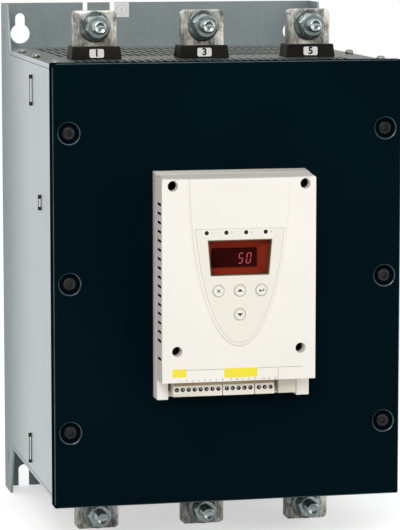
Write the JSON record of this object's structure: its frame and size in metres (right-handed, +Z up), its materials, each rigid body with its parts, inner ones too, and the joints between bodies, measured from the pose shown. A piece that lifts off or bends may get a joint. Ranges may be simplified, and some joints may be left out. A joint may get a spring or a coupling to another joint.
{
  "type": "soft starter",
  "caption": "Motor soft starter: slotted sheet case with wall ears, dark front cover, busbar terminals with bolts, and a control module with display, keys and plug-in terminals.",
  "frame": {"origin": "centre of the rear plate's back face, which lies on the wall", "axes": "+X to the right and +Z up as the front is seen, +Y into the wall, so the front cover faces -Y"},
  "size_m": [0.3002, 0.3412, 0.455],
  "materials": {
    "galvanised_steel": "galvanised sheet with a soft spangle",
    "slotted_steel": "galvanised sheet, slotted",
    "cover_paint": "very dark blue-green satin paint",
    "cover_screw_steel": "blackened steel",
    "zinc_screws": "bright zinc",
    "shroud_plastic": "black moulded plastic",
    "tinned_copper": "tin-plated copper, brushed",
    "thyristor_case": "black moulding",
    "transformer_resin": "dark cast resin",
    "zinc_hardware": "bright zinc-plated steel",
    "sink_aluminium": "extruded aluminium",
    "fan_plastic": "black fan plastic",
    "core_steel": "laminated core steel",
    "coil_winding": "taped copper winding",
    "carrier_plastic": "red-brown moulding",
    "contact_copper": "bare copper",
    "circuit_board": "green laminate",
    "transformer_case": "yellow tape",
    "module_plastic": "cream moulded plastic, fine texture",
    "display_black": "black display face",
    "red_window": "deep red filter",
    "film": "printed cream film",
    "lamp_plastic": "dark unlit lamps",
    "switch_plastic": "black switch bodies",
    "key_plastic": "cream keys",
    "plug_plastic": "cream plug plastic",
    "socket_plastic": "cream socket housing",
    "cable_sheath": "grey flat cable"
  },
  "bodies": {
    "case": {"chassis": "galvanised_steel", "top_panel": "slotted_steel", "bottom_panel": "slotted_steel", "front_cover": "cover_paint", "cover_screws": "cover_screw_steel", "panel_screws": "zinc_screws", "line_shroud_1": "shroud_plastic", "line_shroud_2": "shroud_plastic", "line_shroud_3": "shroud_plastic", "load_shroud_1": "shroud_plastic", "load_shroud_2": "shroud_plastic", "load_shroud_3": "shroud_plastic", "line_bar_1": "tinned_copper", "line_bar_2": "tinned_copper", "line_bar_3": "tinned_copper", "load_bar_1": "tinned_copper", "load_bar_2": "tinned_copper", "load_bar_3": "tinned_copper", "terminal_bolts": "zinc_hardware", "terminal_nuts": "zinc_hardware", "terminal_washers": "zinc_hardware", "heat_sink": "sink_aluminium", "thyristor_1": "thyristor_case", "thyristor_2": "thyristor_case", "thyristor_3": "thyristor_case", "fan_frame_1": "fan_plastic", "fan_frame_2": "fan_plastic", "current_transformer_1": "transformer_resin", "current_transformer_2": "transformer_resin", "current_transformer_3": "transformer_resin", "board_tray": "galvanised_steel", "magnet_bracket": "galvanised_steel", "magnet_core": "core_steel", "magnet_coil": "coil_winding", "power_board": "circuit_board", "supply_transformer": "transformer_case", "module_base": "module_plastic", "module_shell": "module_plastic", "control_board": "circuit_board", "display_board": "circuit_board", "display_block": "display_black", "display_window": "red_window", "keypad_film": "film", "status_leds": "lamp_plastic", "key_switches": "switch_plastic", "plug_8_way": "plug_plastic", "plug_5_way": "plug_plastic", "plug_3_way": "plug_plastic", "comm_socket": "socket_plastic", "module_screws": "zinc_screws", "link_cable": "cable_sheath"},
    "fan_1_rotor": {"fan_rotor_1": "fan_plastic"},
    "fan_2_rotor": {"fan_rotor_2": "fan_plastic"},
    "bypass_carrier": {"contact_carrier": "carrier_plastic", "bridge_contacts": "contact_copper", "armature": "core_steel"},
    "escape_key": {"key_escape": "key_plastic"},
    "up_key": {"key_up": "key_plastic"},
    "enter_key": {"key_enter": "key_plastic"},
    "down_key": {"key_down": "key_plastic"}
  },
  "joints": [
    {"name": "fan_1_spin", "type": "hinge", "parent": "case", "child": "fan_1_rotor", "pos_m": [-0.062, -0.049, -0.169], "axis": [0, 0, 1], "continuous": true},
    {"name": "fan_2_spin", "type": "hinge", "parent": "case", "child": "fan_2_rotor", "pos_m": [0.062, -0.049, -0.169], "axis": [0, 0, 1], "continuous": true},
    {"name": "bypass_close", "type": "slide", "parent": "case", "child": "bypass_carrier", "axis": [0, 1, 0], "range_m": [0, 0.006], "stiffness_N_per_m": 600, "springref_m": -0.01},
    {"name": "escape_key_press", "type": "slide", "parent": "case", "child": "escape_key", "axis": [0, 1, 0], "range_m": [0, 0.0006], "stiffness_N_per_m": 300, "springref_m": -0.001},
    {"name": "up_key_press", "type": "slide", "parent": "case", "child": "up_key", "axis": [0, 1, 0], "range_m": [0, 0.0006], "stiffness_N_per_m": 300, "springref_m": -0.001},
    {"name": "enter_key_press", "type": "slide", "parent": "case", "child": "enter_key", "axis": [0, 1, 0], "range_m": [0, 0.0006], "stiffness_N_per_m": 300, "springref_m": -0.001},
    {"name": "down_key_press", "type": "slide", "parent": "case", "child": "down_key", "axis": [0, 1, 0], "range_m": [0, 0.0006], "stiffness_N_per_m": 300, "springref_m": -0.001}
  ]
}
